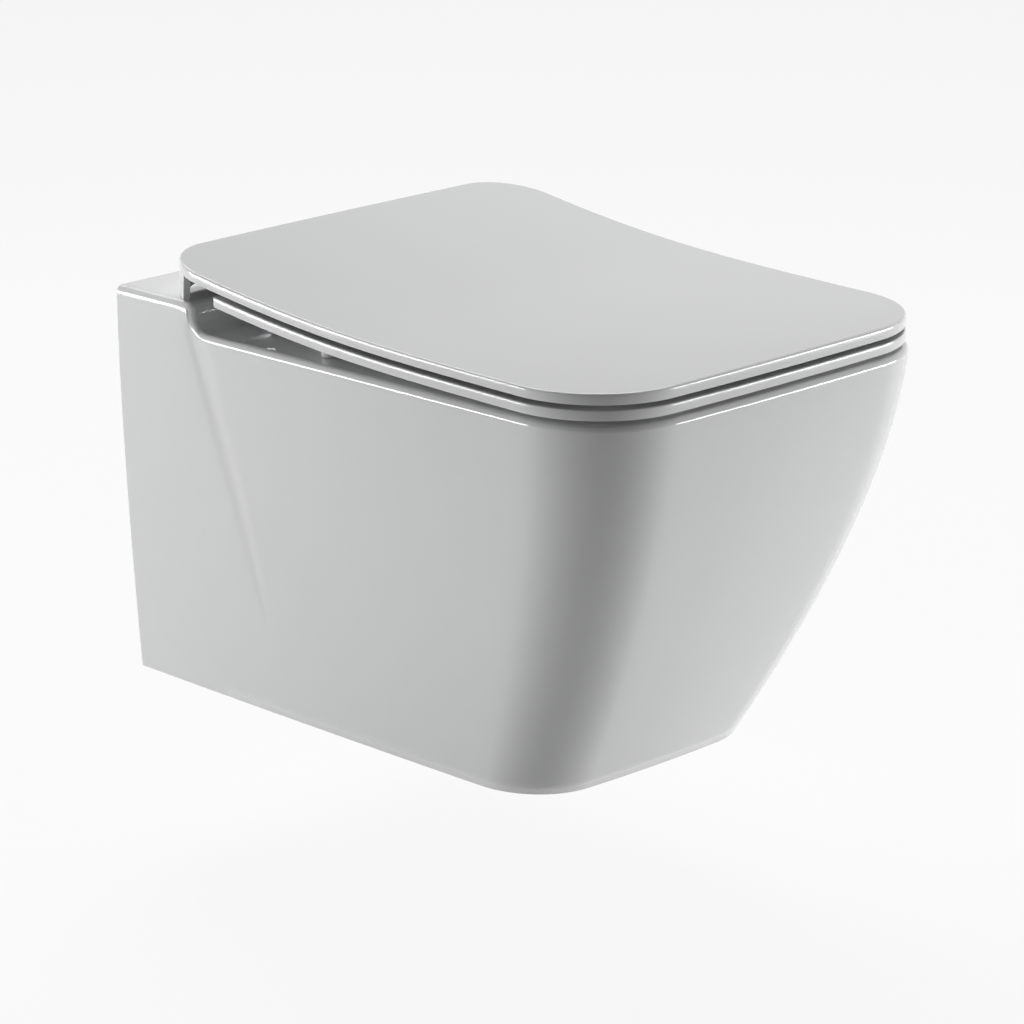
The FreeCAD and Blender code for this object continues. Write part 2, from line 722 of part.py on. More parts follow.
def drill(shape, lines):
    """Cuts the holes that the screws bite into, on both sides."""
    for start, end in lines:
        hole = rod(screw_radius, start, end)
        shape = shape.cut(hole).cut(mirrored(hole))
    return shape


# ---- buffers --------------------------------------------------------------------------------
def seat_buffer(place):
    x, y = place
    form = rod(buffer_radius, V(x, -y, up(rest_gap)), V(x, -y, up(40)))
    return form.common(under_curve(seat_drop, 300))


def lid_buffer(place):
    x, y = place
    form = rod(buffer_radius, V(x, -y, up(0)), V(x, -y, up(60))).common(under_curve(lid_shell, 300))
    return form.cut(under_curve(seat_top_drop - rest_gap, 300))


# ---- hidden wall fixing ---------------------------------------------------------------------
def fixing_block():
    """Block that slides over a wall stud, with a chamber for the wedge and a clamp screw hole."""
    half = block_width / 2
    tall = block_height / 2
    form = box(block_x - half, block_x + half, -block_depth, 0, -tall, tall)
    form = form.makeChamfer(2.0, [e for e in form.Edges if abs(e.BoundBox.YMin - e.BoundBox.YMax) > 20])
    form = form.cut(rod(bolt_hole_radius, V(block_x, -block_depth - 1, 0), V(block_x, 1, 0)))
    form = form.cut(wedge_room())
    return form.cut(rod(clamp_radius, V(hinge_x, hinge_y, 0), V(hinge_x, hinge_y, tall + 1)))


def wedge_room():
    x1 = block_x - bolt_hole_radius + 1.5
    return box(hinge_x - clamp_radius, x1, hinge_y - 6, hinge_y + 6, -11, 9)


def fixing_wedge():
    """Wedge that the clamp screw drives against the wall stud."""
    x0 = hinge_x - clamp_radius + 0.1
    x1 = block_x - bolt_hole_radius
    points = [V(x0, hinge_y - 5.8, 8.9), V(x1 - 2.5, hinge_y - 5.8, 8.9), V(x1 - 0.2, hinge_y - 5.8, -8),
              V(x1 - 2.5, hinge_y - 5.8, -10.9), V(x0, hinge_y - 5.8, -10.9)]
    return Part.Face(Part.makePolygon(points + points[:1])).extrude(V(0, 11.6, 0))


def clamp_screw():
    seat = block_height / 2 + block_gap + pocket_wall
    shank = rod(clamp_radius, V(hinge_x, hinge_y, 8.9), V(hinge_x, hinge_y, seat + 1))
    head = rod(clamp_head_radius, V(hinge_x, hinge_y, seat), V(hinge_x, hinge_y, seat + clamp_head_height))
    key = Part.makeCylinder(3.0, clamp_head_height, V(hinge_x, hinge_y, seat + 3))
    return shank.fuse(head).cut(key)


def inlet_seal():
    """Rubber ring between the flush pipe and the ceramic."""
    z = up(-inlet_below_rim)
    deep = V(0, -back_recess - inlet_seat_depth + 2, z)
    mouth = V(0, -back_recess, z)
    ring = tube(inlet_seat_radius, flush_radius, deep, mouth)
    lip = tube(inlet_seat_radius + 4, flush_radius, mouth, mouth + V(0, 4, 0))
    return ring.fuse(lip).removeSplitter()


def build():
    lid_lines = screw_lines(True)
    seat_lines = screw_lines(False)
    side_place = (lid_half_width - seat_side_buffer[0], seat_side_buffer[1])
    front_place = (lid_half_width - seat_front_buffer[0], lid_length - seat_front_buffer[1])
    lid_places = [(lid_half_width - lid_rear_buffer[0], lid_rear_buffer[1]),
                  (lid_half_width - lid_front_buffer[0], lid_length - lid_front_buffer[1])]
    parts = {"pan": make_pan(), "inlet_seal": inlet_seal()}
    parts["seat_ring"] = drill(make_seat_ring(), seat_lines)
    parts["lid_shell"] = drill(make_lid_shell(), lid_lines)
    pairs = {"fixing_block": fixing_block, "hinge_post": hinge_post, "hinge_pin": hinge_pin,
             "seat_bracket": seat_bracket, "lid_bracket": lid_bracket}
    for name, make in pairs.items():
        shape = make()
        parts[name + "_right"] = shape
        parts[name + "_left"] = mirrored(shape)
    groups = {"fixing_wedges": fixing_wedge, "fixing_clamp_screws": clamp_screw,
              "hinge_gaskets": hinge_gasket, "hinge_studs": hinge_stud,
              "expansion_sleeves": expansion_sleeve, "cone_nuts": cone_nut}
    for name, make in groups.items():
        parts[name] = both_sides(make())
    parts["seat_damper"] = mirrored(lug_bush(True))
    parts["seat_bush"] = lug_bush(True)
    parts["lid_damper"] = lug_bush(False)
    parts["lid_bush"] = mirrored(lug_bush(False))
    parts["seat_buffers_side"] = both_sides(seat_buffer(side_place))
    parts["seat_buffers_front"] = both_sides(seat_buffer(front_place))
    for name, lid in (("seat_bracket_screws", False), ("lid_bracket_screws", True)):
        screws = bracket_screws(lid)
        parts[name] = Part.makeCompound(screws + [mirrored(screw) for screw in screws])
    buffers = [lid_buffer(place) for place in lid_places]
    parts["lid_buffers"] = Part.makeCompound(buffers + [mirrored(form) for form in buffers])
    return parts


if __name__ == "__main__":
    os.makedirs("parts", exist_ok=True)
    for node, shape in build().items():
        shape.exportStep("parts/" + node + ".step")
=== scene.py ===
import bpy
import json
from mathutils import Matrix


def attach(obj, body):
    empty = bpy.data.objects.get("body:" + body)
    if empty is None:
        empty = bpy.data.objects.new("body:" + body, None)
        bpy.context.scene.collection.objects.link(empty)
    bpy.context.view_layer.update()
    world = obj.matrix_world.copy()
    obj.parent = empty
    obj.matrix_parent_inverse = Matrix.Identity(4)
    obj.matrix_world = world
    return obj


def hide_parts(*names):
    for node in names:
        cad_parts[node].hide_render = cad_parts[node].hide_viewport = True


bl_info = {
    "name": "Wall hung toilet",
    "version": (1, 0, 0),
    "blender": (4, 5, 0),
    "location": "View3D > Sidebar > Toilet",
    "description": "Glazed pan, seat, lid and hinge parts of a wall hung toilet, dressed over its frame",
    "category": "Object",
}

import json
import math

import bpy
import bmesh
import numpy as np
from mathutils import Matrix, Vector
from mathutils.bvhtree import BVHTree

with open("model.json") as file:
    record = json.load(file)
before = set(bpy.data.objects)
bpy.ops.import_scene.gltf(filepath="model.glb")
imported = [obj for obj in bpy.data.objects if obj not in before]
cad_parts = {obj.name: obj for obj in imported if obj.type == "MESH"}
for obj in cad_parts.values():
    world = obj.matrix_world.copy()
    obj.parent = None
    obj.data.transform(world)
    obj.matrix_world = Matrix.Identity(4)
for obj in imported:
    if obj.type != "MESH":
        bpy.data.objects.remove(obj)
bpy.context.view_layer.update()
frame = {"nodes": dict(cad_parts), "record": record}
NODES = frame["nodes"]

# Sizes are in millimetres; Y is negative in front of the wall.
MM = 0.001
RIM_Z = 80.0             # top of the rim above the wall bolts
PAN_HEIGHT = 269.0       # rim to the base at the wall
PAN_DEPTH = 301.0        # rim to the lowest section
PAN_HALF, PAN_HALF_LOSS = 177.5, 15.8        # half width at the rim, and what it loses down to the base
PAN_LENGTH, PAN_LENGTH_LOSS = 474.0, 116.0   # wall to the front corners, in the same way
PAN_TAPER = 0.27         # share by which the base narrows from the wall to its front corners
BASE_FALL, BASE_LENGTH = 28.0, 358.0         # fall of the base from the wall, over its length
FRONT_CORNER, FRONT_CORNER_LOSS = 74.0, 16.0
FRONT_BULGE = 2.9        # middle of the front beyond its corners
DECK = 20.0              # top of the rear block above the rim
DECK_FRONT = 79.0        # wall to the riser's face
RISER_TOP, RISER_FOOT = 6.5, 13.5
EDGE = 5.0               # rounding along the rim and the deck
CLOSEST = 0.12           # columns of the skin aren't set closer than this
CREASE_TOP, CREASE_SWEEP, CREASE_DEPTH, CREASE_HALF = 82.0, 53.0, 0.9, 15.0
MOUTH_HALF, MOUTH_REAR, MOUTH_FRONT = 139.0, 136.0, 437.0
MOUTH_REAR_CORNER, MOUTH_FRONT_CORNER, MOUTH_EDGE = 49.6, 62.0, 4.0
MOUTH_WALL = ((12.0, 4.3), (22.0, 4.65), (30.0, 5.0))      # depth and inset of the wall below the mouth
HINGE_X, HINGE_REACH, HINGE_ROOM_TOP = 77.5, 22.5, 44.7
SKIRT_FRONT, SKIRT_TIP, SKIRT_BACK, SKIRT_GAP = 68.0, 15.0, 23.71, 0.4
LID_BACK, LID_LENGTH, LID_HALF, LID_BACK_CORNER = 40.4, 470.8, 177.5, 44.0
LID_LOW, LID_RISE, LID_CROWN = 22.8, 28.6, 0.8
LID_EDGE, LID_SHELL, SEAT_GAP, SEAT_THICK = 8.4, 4.3, 3.4, 7.5
LID_ROUND, LID_FOOT_ROUND = 1.7, 0.8         # roundings of the lid's edge, above and below
LID_LIP, LID_WALL = 4.3, 5.0                 # inner edge of the lid's foot, and the inside of its wall
SEAT_REAR, SEAT_REAR_CORNER = 101.8, 1.5
SEAT_ROUND, SEAT_HOLE_ROUND = 1.1, 3.4       # roundings of the seat's outer edge and of its opening
HOLE_HALF, HOLE_REAR, HOLE_FRONT = 112.0, 152.0, 398.0
HOLE_REAR_CORNER, HOLE_FRONT_CORNER = 80.0, 98.0
# side view of the lid: share of its length from the front, share of its rise
LID_CURVE = ((-0.02, -0.04), (0.18, 0.0), (0.38, 0.056), (0.59, 0.20), (0.77, 0.465), (1.02, 1.04))

# Metres: how near a packed face of the pan lies to the dressed skin that takes its place.
WELD = 0.000005
SEARCH, ON_SKIN, NEAR_SKIN = 0.004, 0.0009, 0.0042
ON_MIDDLE, NEAR_MIDDLE, NEAR_FROM_Y = 0.0012, 0.0035, -0.06

FLOOR_REACH, FLOOR_TONE, FLOOR_GLOW = 9.0, 0.8, 0.9
SOFT_SKY = 0.03
STAGE_MIDDLE = (0, -0.25, -0.05)
# place, target, width, height, power
LIGHTS = {"overhead": ((0.7, 0.7, 2.0), (0, -0.25, 0.0), 1.8, 1.8, 40),
          "left_panel": ((-1.65, 1.35, -0.02), STAGE_MIDDLE, 1.4, 0.56, 30),
          "right_panel": ((1.85, -1.8, -0.02), STAGE_MIDDLE, 1.4, 0.56, 36)}
CAMERA_PLACE = (-2.2988, -2.47575, 0.9053)
CAMERA_AZIMUTH, CAMERA_ELEVATION = -45.544, 16.692


# ---- curves and meshes ------------------------------------------------------------------------
def turns(steps):
    """Angles of a quarter turn in equal steps."""
    return [math.pi / 2 * step / steps for step in range(steps + 1)]


def lid_top(y):
    """Height of the lid's top above the rim, at y in millimetres, by a cubic through LID_CURVE."""
    points = np.array(LID_CURVE)
    share = (LID_LENGTH + np.asarray(y, float)) / (LID_LENGTH - LID_BACK)
    x, rise = points[:, 0], points[:, 1]
    steps = np.diff(x)
    size = len(x)
    matrix, right = np.zeros((size, size)), np.zeros(size)
    matrix[0, :3] = (steps[1], -(steps[0] + steps[1]), steps[0])
    matrix[-1, -3:] = (steps[-1], -(steps[-1] + steps[-2]), steps[-2])
    for i in range(1, size - 1):
        matrix[i, i - 1:i + 2] = (steps[i - 1], 2 * (steps[i - 1] + steps[i]), steps[i])
        right[i] = 6 * ((rise[i + 1] - rise[i]) / steps[i] - (rise[i] - rise[i - 1]) / steps[i - 1])
    bend = np.linalg.solve(matrix, right)
    at = np.clip(np.searchsorted(x, share) - 1, 0, size - 2)
    h, left, ahead = steps[at], share - x[at], x[at + 1] - share
    value = (bend[at] * ahead ** 3 + bend[at + 1] * left ** 3) / (6 * h)
    value += (rise[at] / h - bend[at] * h / 6) * ahead + (rise[at + 1] / h - bend[at + 1] * h / 6) * left
    return LID_LOW + LID_RISE * value


def build_mesh(name, vertices, faces):
    """A mesh object from millimetre points, doubles merged and faces turned outwards."""
    mesh = bpy.data.meshes.new(name)
    mesh.from_pydata([Vector(v) * MM for v in vertices], [], faces)
    bm = bmesh.new()
    bm.from_mesh(mesh)
    bmesh.ops.remove_doubles(bm, verts=bm.verts, dist=0.00002)
    bmesh.ops.recalc_face_normals(bm, faces=bm.faces)
    bm.to_mesh(mesh)
    bm.free()
    thing = bpy.data.objects.new(name, mesh)
    bpy.context.scene.collection.objects.link(thing)
    return thing


def smooth(thing, degrees=35.0):
    """Smooth shading that keeps edges sharper than the angle."""
    thing.data.shade_smooth()
    thing.data.set_sharp_from_angle(angle=math.radians(degrees))


def grid_faces(rows, columns, offset=0, closed=False):
    """Four-sided faces between rows of points, from the first to the last or right round."""
    faces = []
    last = columns if closed else columns - 1
    for r in range(rows - 1):
        for c in range(last):
            d = (c + 1) % columns
            faces.append((offset + r * columns + c, offset + r * columns + d,
                          offset + (r + 1) * columns + d, offset + (r + 1) * columns + c))
    return faces


def arc_between(centre, radius, start, end, steps):
    """Plan points and outward normals on an arc, angles in radians from +X."""
    angles = np.linspace(start, end, steps)
    normals = np.stack([np.cos(angles), np.sin(angles)], 1)
    return centre + radius * normals, normals


def plan_outline(half_rear, y_rear, r_rear, half_front, y_front, r_front, bulge, counts, sides):
    """Right half of a plan outline, from the middle of the back to the middle of the front.

    counts are the points on the back, the rear corner, the front corner and the front; sides are the
    shares along the side. Gives the points and their outward normals.
    """
    side_dir = np.array([half_front - half_rear, y_front - y_rear])
    side_dir = side_dir / np.linalg.norm(side_dir)
    side_normal = np.array([-side_dir[1], side_dir[0]])
    tilt = math.atan2(side_normal[1], side_normal[0])
    points, normals = [], []
    if r_rear > 0:
        cut = r_rear * math.tan((math.pi / 2 - tilt) / 2)
        centre = np.array([half_rear - cut, y_rear - r_rear])
        back = np.linspace(0, half_rear - cut, counts[0])[:-1]
        points += [(x, y_rear) for x in back]
        normals += [(0.0, 1.0)] * len(back)
        p, n = arc_between(centre, r_rear, math.pi / 2, tilt, counts[1])
        points += list(map(tuple, p))
        normals += list(map(tuple, n))
        side_start = p[-1]
    else:
        side_start = np.array([half_rear, y_rear])
    fall = math.atan2(2 * bulge, half_front)
    edge_normal_angle = -math.pi / 2 + fall
    half = (tilt - edge_normal_angle) / 2
    cut = r_front * math.tan(half)
    corner = np.array([half_front, y_front])
    side_end = corner - side_dir * cut
    centre = side_end - side_normal * r_front
    for share in sides:
        p = side_start + (side_end - side_start) * share
        points.append(tuple(p))
        normals.append(tuple(side_normal))
    p, n = arc_between(centre, r_front, tilt, edge_normal_angle, counts[2])
    points += list(map(tuple, p[1:]))
    normals += list(map(tuple, n[1:]))
    end = p[-1]
    big = end[0] / math.sin(fall)
    middle = np.array([0.0, end[1] + big * math.cos(fall)])
    p, n = arc_between(middle, big, edge_normal_angle, -math.pi / 2, counts[3])
    points += list(map(tuple, p[1:]))
    normals += list(map(tuple, n[1:]))
    return np.array(points), np.array(normals)


def close_outline(points, normals):
    """Adds the mirror image of a half outline whose ends lie on the middle plane."""
    left, left_n = points[1:-1][::-1].copy(), normals[1:-1][::-1].copy()
    left[:, 0] *= -1
    left_n[:, 0] *= -1
    return np.concatenate([points, left]), np.concatenate([normals, left_n])


# ---- pan --------------------------------------------------------------------------------------
def pan_plan(depth):
    """Half widths at the wall and the front, length and corner of the pan at a depth below the rim."""
    deep = max(depth, 0.0)
    half_wall = PAN_HALF - PAN_HALF_LOSS * (deep / PAN_HEIGHT) ** 1.5
    length = PAN_LENGTH - PAN_LENGTH_LOSS * (deep / (PAN_HEIGHT + BASE_FALL)) ** 1.53
    half_front = half_wall * (1 - PAN_TAPER * (deep / PAN_DEPTH) ** 1.4)
    corner = FRONT_CORNER - FRONT_CORNER_LOSS * deep / PAN_DEPTH
    return half_wall, half_front, length, corner


def column_steps():
    """Offsets from the crease of the skin's columns, dense over the riser's roundings and the crease."""
    bends = [math.radians(angle) for angle in (0, 14, 28, 42, 55, 67, 78, 90)]
    steps = [CREASE_TOP - (DECK_FRONT - RISER_TOP) - RISER_TOP * math.sin(bend) for bend in bends]
    steps += [CREASE_TOP - (DECK_FRONT + RISER_FOOT) + RISER_FOOT * math.sin(bend) for bend in bends]
    steps += [CREASE_HALF * share for share in (-1.15, -0.8, -0.55, -0.3, -0.1, 0.1, 0.3, 0.55, 0.8, 1.15)]
    steps = sorted(steps, reverse=True)
    return [step for i, step in enumerate(steps) if i == 0 or steps[i - 1] - step > CLOSEST]


CREASE_STEPS = column_steps()


def crease_y(depth):
    """Place of the valley between block and bowl at a depth below the rim."""
    return -(CREASE_TOP + CREASE_SWEEP * math.sin(math.pi / 2 * min(max(depth / PAN_HEIGHT, 0.0), 1.0)))


def crease_in(offset, depth):
    """How far the valley lies inside the side, at an offset along Y; it fades up and down."""
    fade = 1 - depth / (0.8 * PAN_DEPTH) if depth > 0 else 1 + depth / (0.035 * PAN_DEPTH)
    if fade <= 0 or abs(offset) >= CREASE_HALF * fade ** 0.5:
        return 0.0
    return CREASE_DEPTH * fade * math.cos(math.pi / 2 * offset / (CREASE_HALF * fade ** 0.5)) ** 2


def pan_columns(depth, fractions):
    """Plan points and normals of the right half skin at a depth: block side, crease, bowl side, front."""
    half_wall, half_front, length, corner = pan_plan(depth)
    tilt_dir = np.array([half_front - half_wall, -length])
    tilt_dir = tilt_dir / np.linalg.norm(tilt_dir)
    middle = crease_y(depth)
    outline, normals = plan_outline(half_wall, 0.0, 0.0, half_front, -length, corner, FRONT_BULGE,
                                    (0, 0, 22, 14), (0.0, 1.0))
    end_y = outline[1][1]
    ys = [middle * f + CREASE_STEPS[0] * f for f in fractions[0]]
    ys += [middle + step for step in CREASE_STEPS]
    first = middle + CREASE_STEPS[-1]
    ys += [first + (end_y - first) * f for f in fractions[1]]
    side = []
    for y in ys:
        x = half_wall + tilt_dir[0] / tilt_dir[1] * y
        side.append((x - crease_in(y - middle, depth), y))
    count = len(ys)
    n = np.concatenate([np.repeat(normals[:1], count, 0), normals[2:]])
    return np.concatenate([np.array(side), outline[2:]]), n


def deck_height(y):
    """Height above the rim of the top edge at y, and the slope's normal in the YZ plane."""
    flat, foot = RISER_TOP - DECK_FRONT, -DECK_FRONT - RISER_FOOT
    if y >= flat:
        return DECK, (0.0, 1.0)
    if y <= foot:
        return 0.0, (0.0, 1.0)
    if y > -DECK_FRONT:
        across = (flat - y) / RISER_TOP
        return DECK - RISER_TOP * (1 - math.sqrt(1 - across ** 2)), (-across, math.sqrt(1 - across ** 2))
    across = min((y - foot) / RISER_FOOT, 1.0)
    return RISER_FOOT * (1 - math.sqrt(1 - across ** 2)), (-across, math.sqrt(1 - across ** 2))


def pan_skin():
    """Outer skin of the ceramic: sides, rounded rim, deck and riser."""
    before = [i / 9 for i in range(9)]
    after = [0.03, 0.08, 0.15, 0.24, 0.34, 0.46, 0.58, 0.7, 0.82, 0.92, 1.0]
    fractions = (before, after)
    top, top_n = pan_columns(0.0, fractions)
    count = len(top)
    depths = [0, 0.01, 0.025, 0.05, 0.08] + [0.12 + 0.88 * i / 26 for i in range(27)]
    tops = [deck_height(point[1]) for point in top]
    slope = BASE_FALL / BASE_LENGTH
    cache = {}

    def at(depth, column):
        key = round(depth, 3)
        if key not in cache:
            cache[key] = pan_columns(key, fractions)[0]
        return cache[key][column]

    rows = []
    for v in depths:
        row = []
        for i in range(count):
            height, normal = tops[i]
            z_top = height - EDGE * normal[1]
            z_base = -PAN_HEIGHT
            for repeat in range(4):
                z_base = -PAN_HEIGHT - slope * abs(at(-z_base, i)[1])
            z = z_top + (z_base - z_top) * v
            x, y = at(-z, i)
            y += -EDGE * normal[0] * (1 - v) ** 8
            row.append((x, y, z))
        rows.append(row)
    rows = rows[::-1]
    # a 1 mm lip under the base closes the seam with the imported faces
    rows.insert(0, [(x - top_n[i][0], y - top_n[i][1], z - 0.04) for i, (x, y, z) in enumerate(rows[0])])
    for angle in turns(8)[1:]:
        row = []
        for i in range(count):
            height, normal = tops[i]
            x, y = top[i]
            centre = np.array([x - EDGE * top_n[i][0], y - EDGE * top_n[i][1] - EDGE * normal[0],
                               height - EDGE * normal[1]])
            out = np.array([top_n[i][0], top_n[i][1], 0.0])
            rise = np.array([0.0, normal[0], normal[1]])
            row.append(tuple(centre + EDGE * (math.cos(angle) * out + math.sin(angle) * rise)))
        rows.append(row)
    vertices = [point for row in rows for point in row]
    faces = grid_faces(len(rows), count)
    # deck and riser, ruled across to the middle
    foot = max(i for i in range(count) if top[i][1] >= -DECK_FRONT - RISER_FOOT - 0.01) + 1
    inner = rows[-1]
    start = len(vertices)
    across = 14
    for i in range(foot + 1):
        x, y, z = inner[i]
        vertices += [(x * (1 - j / (across - 1)), y, z) for j in range(across)]
    faces += grid_faces(foot + 1, across, start)
    return vertices, faces, inner, foot


def mouth_outline(grow):
    """Closed plan outline of the basin's mouth, moved outwards by grow."""
    half, front = MOUTH_HALF + grow, MOUTH_FRONT + grow
    sides = [i / 8 for i in range(9)]
    return close_outline(*plan_outline(half, -MOUTH_REAR + grow, MOUTH_REAR_CORNER + grow, half, -front,
                                       MOUTH_FRONT_CORNER + grow, FRONT_BULGE, (10, 10, 16, 12), sides))


def rim_and_mouth(inner, foot):
    """Flat top of the rim with its opening, the rounded mouth and the wall down to the water ledge."""
    right = [inner[i] for i in range(foot, len(inner))]
    left = [(-x, y, z) for x, y, z in right[:-1]][::-1]
    outer = right + left
    ring, ring_n = mouth_outline(MOUTH_EDGE)
    bm = bmesh.new()
    loops = []
    for loop in (outer, [(x, y, 0.0) for x, y in ring]):
        made = [bm.verts.new(v) for v in loop]
        loops += [bm.edges.new((made[i], made[(i + 1) % len(made)])) for i in range(len(made))]
    bmesh.ops.triangle_fill(bm, edges=loops, use_beauty=True, use_dissolve=False, normal=(0, 0, 1))
    bm.verts.index_update()
    vertices = [tuple(v.co) for v in bm.verts]
    faces = [tuple(v.index for v in f.verts) for f in bm.faces]
    bm.free()
    edge = [(MOUTH_EDGE * (1 - math.cos(angle)), MOUTH_EDGE - MOUTH_EDGE * (1 - math.sin(angle)))
            for angle in turns(6)]
    start = len(vertices)
    wall = (*edge, *MOUTH_WALL)
    for depth, inset in wall:
        vertices += [(x - n[0] * inset, y - n[1] * inset, -depth) for (x, y), n in zip(ring, ring_n)]
    faces += grid_faces(len(wall), len(ring), start, True)
    return vertices, faces


def lies_on(tree, face, reach):
    """Whether a packed face, whose corners are within reach of the dressed skin, is replaced by it."""
    if reach >= NEAR_SKIN:
        return False
    middle = face.calc_center_median()
    place, normal, index, distance = tree.find_nearest(middle, SEARCH)
    if place is None:
        return False
    along = normal.dot(face.normal)
    if reach < ON_SKIN:
        return distance < ON_MIDDLE and abs(along) > 0.6
    return distance < NEAR_MIDDLE and along > 0.5 and middle.y < NEAR_FROM_Y


def make_pan():
    """The dressed pan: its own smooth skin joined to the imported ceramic's inner faces."""
    half, half_faces, inner, foot = pan_skin()
    vertices = half + [(-x, y, z) for x, y, z in half]
    faces = half_faces + [tuple(len(half) + i for i in reversed(f)) for f in half_faces]
    top_vertices, top_faces = rim_and_mouth(inner, foot)
    faces += [tuple(len(vertices) + i for i in f) for f in top_faces]
    vertices += top_vertices
    vertices = [(x, y, z + RIM_Z) for x, y, z in vertices]
    skin = build_mesh("pan_glazed", vertices, faces)
    tree = BVHTree.FromPolygons([v.co for v in skin.data.vertices],
                                [tuple(p.vertices) for p in skin.data.polygons])
    bm = bmesh.new()
    bm.from_mesh(NODES["pan"].data)
    bmesh.ops.remove_doubles(bm, verts=bm.verts, dist=WELD)
    near = {}
    for vert in bm.verts:
        found = tree.find_nearest(vert.co, SEARCH)
        near[vert.index] = found[3] if found[0] is not None else 1.0
    doomed = [face for face in bm.faces if lies_on(tree, face, max(near[v.index] for v in face.verts))]
    bmesh.ops.delete(bm, geom=doomed, context="FACES")
    bm.from_mesh(skin.data)
    bm.to_mesh(skin.data)
    bm.free()
    smooth(skin, 40)
    return skin


# ---- lid and seat -------------------------------------------------------------------------------
def lid_outline():
    """Closed plan outline of the lid."""
    sides = [0, 0.02, 0.045, 0.075, 0.12] + [0.12 + 0.88 * i / 16 for i in range(1, 17)]
    return close_outline(*plan_outline(LID_HALF, -LID_BACK, LID_BACK_CORNER, LID_HALF, -LID_LENGTH,
                                       FRONT_CORNER, FRONT_BULGE, (56, 44, 22, 18), sides))


def edge_blend(value, low, high):
    """Smooth share from 0 at low to 1 at high."""
    share = min(max((value - low) / (high - low), 0.0), 1.0)
    return share * share * (3 - 2 * share)


def lid_foot(x, y):
    """Height of the lid edge's lower side: the slab's edge, the back skirt and its hinge cuts."""
    slab = float(lid_top(y)) - LID_EDGE
    if y < -SKIRT_FRONT - 0.5:
        return slab
    if y > -LID_BACK - 19.0 and abs(abs(x) - HINGE_X) < HINGE_REACH:
        return HINGE_ROOM_TOP
    skirt = SKIRT_TIP + (SKIRT_BACK - SKIRT_TIP) * (y + SKIRT_FRONT) / (SKIRT_FRONT - LID_BACK)
    corner = min(max(abs(x) - LID_HALF + EDGE, 0.0), EDGE)
    skirt = max(skirt, DECK - EDGE + math.sqrt((EDGE + SKIRT_GAP) ** 2 - corner ** 2))
    return skirt + (slab - skirt) * edge_blend(-y, SKIRT_FRONT - 0.5, SKIRT_FRONT + 0.5)


def lid_surface(x, y):
    """Height of the lid's crowned top above the rim."""
    return float(lid_top(y)) + float(-LID_CROWN * (np.asarray(x) / LID_HALF) ** 2)


def make_lid():
    """Lid: crowned top, rounded edge, back skirt and hollow underside, ring by ring round its outline."""
    outline, normals = lid_outline()
    count = len(outline)
    centre = np.array([0.0, -245.0])
    shares = [0.0, 0.12, 0.24, 0.36, 0.48, 0.58, 0.68, 0.76, 0.83, 0.89, 0.94, 0.975]
    rings = []

    def ring(inset, height):
        rings.append([(*(outline[i] - normals[i] * inset), height(i)) for i in range(count)])

    def disc(inset, lower, steps):
        for share in steps:
            row = [centre + (outline[i] - normals[i] * inset - centre) * share for i in range(count)]
            rings.append([(x, y, lid_surface(x, y) - lower) for x, y in row])

    def top_at(inset, lower=0.0):
        return lambda i: lid_surface(*(outline[i] - normals[i] * inset)) - lower

    def foot_at(lift):
        return lambda i: lid_foot(*outline[i]) + lift

    disc(LID_ROUND + 0.5, 0.0, shares)
    ring(LID_ROUND + 0.5, top_at(LID_ROUND + 0.5))
    for angle in turns(6):
        inset = LID_ROUND * (1 - math.sin(angle))
        ring(inset, top_at(inset, LID_ROUND * (1 - math.cos(angle))))
    ring(0.0, lambda i: 0.5 * (top_at(0.0, LID_ROUND)(i) + foot_at(LID_FOOT_ROUND)(i)))
    for angle in turns(4):
        ring(LID_FOOT_ROUND * (1 - math.cos(angle)), foot_at(LID_FOOT_ROUND * (1 - math.sin(angle))))
    ring(LID_LIP, foot_at(0.0))
    ring(LID_WALL, foot_at(0.7))
    ring(LID_WALL, lambda i: max(top_at(LID_WALL, LID_SHELL)(i) - 1.5, foot_at(0.7)(i)))
    ring(LID_WALL + 1.5, top_at(LID_WALL + 1.5, LID_SHELL))
    disc(LID_WALL + 2.5, LID_SHELL, shares[::-1])
    vertices = [(x, y, z + RIM_Z) for row in rings for x, y, z in row]
    lid = build_mesh("lid_gloss", vertices, grid_faces(len(rings), count, 0, True))
    smooth(lid, 50)
    return lid


def seat_outline():
    """Closed plan outline of the seat."""
    sides = [i / 26 for i in range(27)]
    return close_outline(*plan_outline(LID_HALF, -SEAT_REAR, SEAT_REAR_CORNER, LID_HALF, -LID_LENGTH,
                                       FRONT_CORNER, FRONT_BULGE, (22, 8, 22, 18), sides))


def opening_point(angle):
    """Point on the seat's opening at an angle round its middle, a rounded rectangle."""
    middle = (HOLE_REAR + HOLE_FRONT) / 2
    reach = (HOLE_FRONT - HOLE_REAR) / 2
    dx, dy = math.cos(angle), math.sin(angle)
    low, high = 0.0, 400.0
    for repeat in range(40):
        t = (low + high) / 2
        x, y = abs(dx * t), dy * t
        r = HOLE_FRONT_CORNER if y < 0 else HOLE_REAR_CORNER
        ax, ay = x - (HOLE_HALF - r), abs(y) - (reach - r)
        outside = math.hypot(max(ax, 0), max(ay, 0)) + min(max(ax, ay), 0) - r
        if outside > 0:
            high = t
        else:
            low = t
    return dx * low, dy * low - middle


